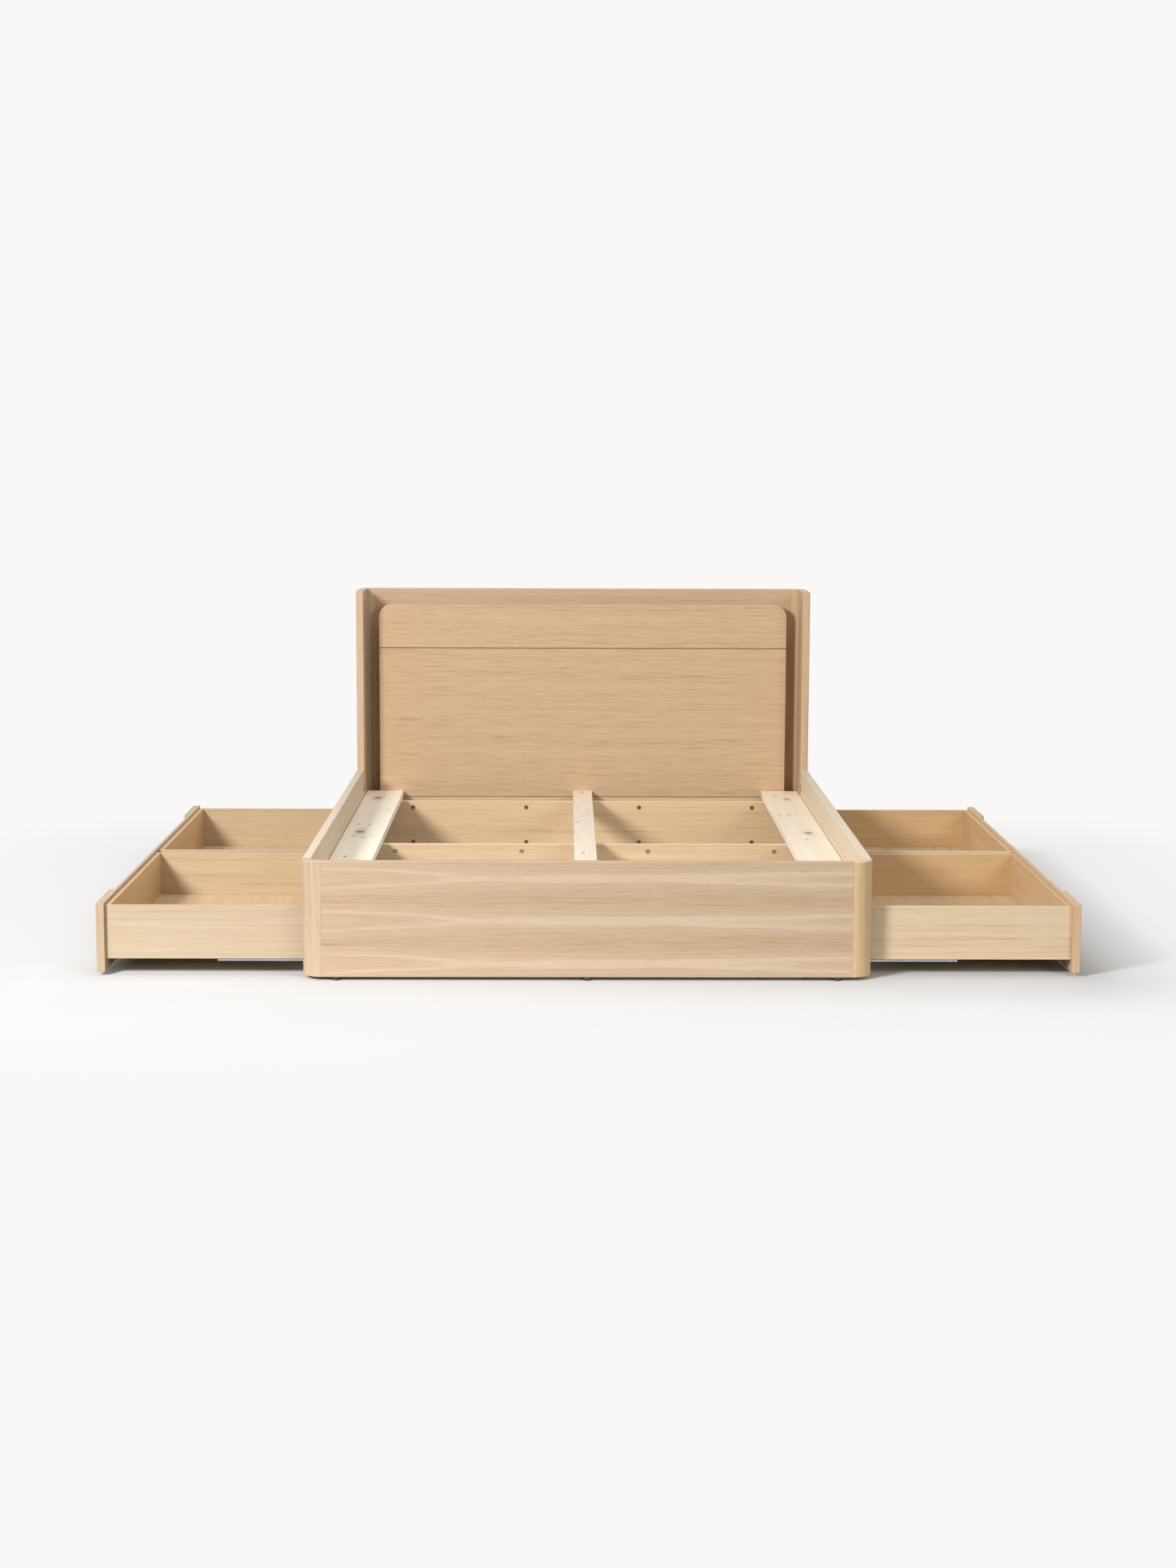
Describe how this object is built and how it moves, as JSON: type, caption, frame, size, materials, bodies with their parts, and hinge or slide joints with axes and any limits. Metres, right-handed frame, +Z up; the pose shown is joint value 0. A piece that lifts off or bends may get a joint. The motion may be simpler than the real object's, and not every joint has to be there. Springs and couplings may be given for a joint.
{
  "type": "wooden bed with drawers",
  "caption": "Low oak bed frame with rounded corners, winged headboard and wide drawers that pull out on both sides on telescopic runners.",
  "frame": {"origin": "on the floor under the middle glide of the mid cross panel, midway between the rails", "axes": "+X to the bed's right seen from the foot, across the bed and along the drawers' travel; +Y from the foot panel to the headboard; +Z up"},
  "size_m": [2.706, 2.109, 0.947],
  "materials": {
    "oak_veneer": "oak veneer, clear matt lacquer",
    "oak_solid": "solid oak, clear matt lacquer",
    "drawer_oak": "oak boards, clear matt lacquer",
    "pine": "planed knotty pine, bare",
    "runner_steel": "zinc plated sheet steel",
    "bolt_steel": "zinc plated",
    "bolt_bronze": "dark bronze plated",
    "glide_plastic": "matt black",
    "clip_plastic": "matt grey"
  },
  "bodies": {
    "bed_frame": {"bronze_bolts": "bolt_bronze", "centre_beam": "pine", "fixed_runners": "runner_steel", "floor_glides": "glide_plastic", "foot_cross_panel": "oak_veneer", "foot_panel": "oak_veneer", "foot_post_left": "oak_solid", "foot_post_right": "oak_solid", "head_cross_panel": "oak_veneer", "headboard_back_panel": "oak_veneer", "headboard_ledger": "oak_veneer", "headboard_lower_board": "oak_veneer", "headboard_post_left": "oak_solid", "headboard_post_right": "oak_solid", "headboard_upper_board": "oak_veneer", "headboard_wing_left": "oak_solid", "headboard_wing_right": "oak_solid", "mid_cross_panel": "oak_veneer", "side_rail_left": "oak_solid", "side_rail_right": "oak_solid", "slat_board_left": "pine", "slat_board_right": "pine", "steel_bolts": "bolt_steel"},
    "drawer_foot_left": {"drawer_foot_left_back": "drawer_oak", "drawer_foot_left_bottom": "drawer_oak", "drawer_foot_left_clips": "clip_plastic", "drawer_foot_left_front": "oak_veneer", "drawer_foot_left_inner_front": "drawer_oak", "drawer_foot_left_runners": "runner_steel", "drawer_foot_left_sides": "drawer_oak"},
    "middle_runners_foot_left": {"drawer_foot_left_middle_runners": "runner_steel"},
    "drawer_foot_right": {"drawer_foot_right_back": "drawer_oak", "drawer_foot_right_bottom": "drawer_oak", "drawer_foot_right_clips": "clip_plastic", "drawer_foot_right_front": "oak_veneer", "drawer_foot_right_inner_front": "drawer_oak", "drawer_foot_right_runners": "runner_steel", "drawer_foot_right_sides": "drawer_oak"},
    "middle_runners_foot_right": {"drawer_foot_right_middle_runners": "runner_steel"},
    "drawer_head_left": {"drawer_head_left_back": "drawer_oak", "drawer_head_left_bottom": "drawer_oak", "drawer_head_left_clips": "clip_plastic", "drawer_head_left_front": "oak_veneer", "drawer_head_left_inner_front": "drawer_oak", "drawer_head_left_runners": "runner_steel", "drawer_head_left_sides": "drawer_oak"},
    "middle_runners_head_left": {"drawer_head_left_middle_runners": "runner_steel"},
    "drawer_head_right": {"drawer_head_right_back": "drawer_oak", "drawer_head_right_bottom": "drawer_oak", "drawer_head_right_clips": "clip_plastic", "drawer_head_right_front": "oak_veneer", "drawer_head_right_inner_front": "drawer_oak", "drawer_head_right_runners": "runner_steel", "drawer_head_right_sides": "drawer_oak"},
    "middle_runners_head_right": {"drawer_head_right_middle_runners": "runner_steel"}
  },
  "joints": [
    {"name": "foot_left_drawer_slide", "type": "slide", "parent": "bed_frame", "child": "drawer_foot_left", "axis": [-1, 0, 0], "range_m": [-0.567, 0.012]},
    {"name": "foot_left_runner_slide", "type": "slide", "parent": "bed_frame", "child": "middle_runners_foot_left", "axis": [-1, 0, 0], "range_m": [-0.2835, 0.006]},
    {"name": "foot_right_drawer_slide", "type": "slide", "parent": "bed_frame", "child": "drawer_foot_right", "axis": [1, 0, 0], "range_m": [-0.579, 0]},
    {"name": "foot_right_runner_slide", "type": "slide", "parent": "bed_frame", "child": "middle_runners_foot_right", "axis": [1, 0, 0], "range_m": [-0.2895, 0]},
    {"name": "head_left_drawer_slide", "type": "slide", "parent": "bed_frame", "child": "drawer_head_left", "axis": [-1, 0, 0], "range_m": [-0.567, 0.012]},
    {"name": "head_left_runner_slide", "type": "slide", "parent": "bed_frame", "child": "middle_runners_head_left", "axis": [-1, 0, 0], "range_m": [-0.2835, 0.006]},
    {"name": "head_right_drawer_slide", "type": "slide", "parent": "bed_frame", "child": "drawer_head_right", "axis": [1, 0, 0], "range_m": [-0.579, 0]},
    {"name": "head_right_runner_slide", "type": "slide", "parent": "bed_frame", "child": "middle_runners_head_right", "axis": [1, 0, 0], "range_m": [-0.2895, 0]}
  ],
  "couplings": [
    {"joint": "foot_left_runner_slide", "follows": "foot_left_drawer_slide", "ratio": 0.5},
    {"joint": "foot_right_runner_slide", "follows": "foot_right_drawer_slide", "ratio": 0.5},
    {"joint": "head_left_runner_slide", "follows": "head_left_drawer_slide", "ratio": 0.5},
    {"joint": "head_right_runner_slide", "follows": "head_right_drawer_slide", "ratio": 0.5}
  ]
}
